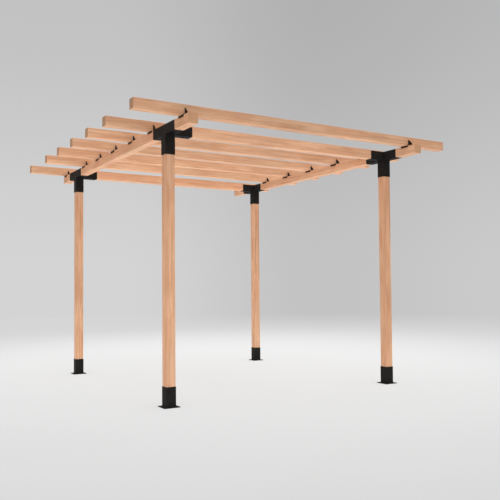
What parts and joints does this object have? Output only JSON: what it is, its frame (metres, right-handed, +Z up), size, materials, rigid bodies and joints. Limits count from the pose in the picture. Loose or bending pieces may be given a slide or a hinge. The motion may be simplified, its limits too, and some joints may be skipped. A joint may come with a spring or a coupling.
{
  "type": "wooden pergola",
  "caption": "Open garden pergola: square timber posts, rails, cross beams and rafters joined by black steel base plates, corner brackets and rafter brackets.",
  "frame": {"origin": "on the floor, under the middle of the frame", "axes": "+Z up, X along the rafters from left to right, +Y along the side rails from front to back"},
  "size_m": [3.578, 3.776, 2.629],
  "materials": {
    "timber": "planed softwood, clear finish",
    "black_steel": "black powder coat, satin"
  },
  "bodies": {
    "root": {"corner_bracket_back_left": "black_steel", "corner_bracket_back_right": "black_steel", "corner_bracket_front_left": "black_steel", "corner_bracket_front_right": "black_steel", "cross_beam_back": "timber", "cross_beam_front": "timber", "post_back_left": "timber", "post_back_right": "timber", "post_base_back_left": "black_steel", "post_base_back_right": "black_steel", "post_base_front_left": "black_steel", "post_base_front_right": "black_steel", "post_front_left": "timber", "post_front_right": "timber", "rafter_1": "timber", "rafter_2": "timber", "rafter_3": "timber", "rafter_4": "timber", "rafter_5": "timber", "rafter_6": "timber", "rafter_7": "timber", "rafter_bracket_left_1": "black_steel", "rafter_bracket_left_2": "black_steel", "rafter_bracket_left_3": "black_steel", "rafter_bracket_left_4": "black_steel", "rafter_bracket_left_5": "black_steel", "rafter_bracket_left_6": "black_steel", "rafter_bracket_left_7": "black_steel", "rafter_bracket_right_1": "black_steel", "rafter_bracket_right_2": "black_steel", "rafter_bracket_right_3": "black_steel", "rafter_bracket_right_4": "black_steel", "rafter_bracket_right_5": "black_steel", "rafter_bracket_right_6": "black_steel", "rafter_bracket_right_7": "black_steel", "side_rail_left": "timber", "side_rail_right": "timber"}
  },
  "joints": []
}
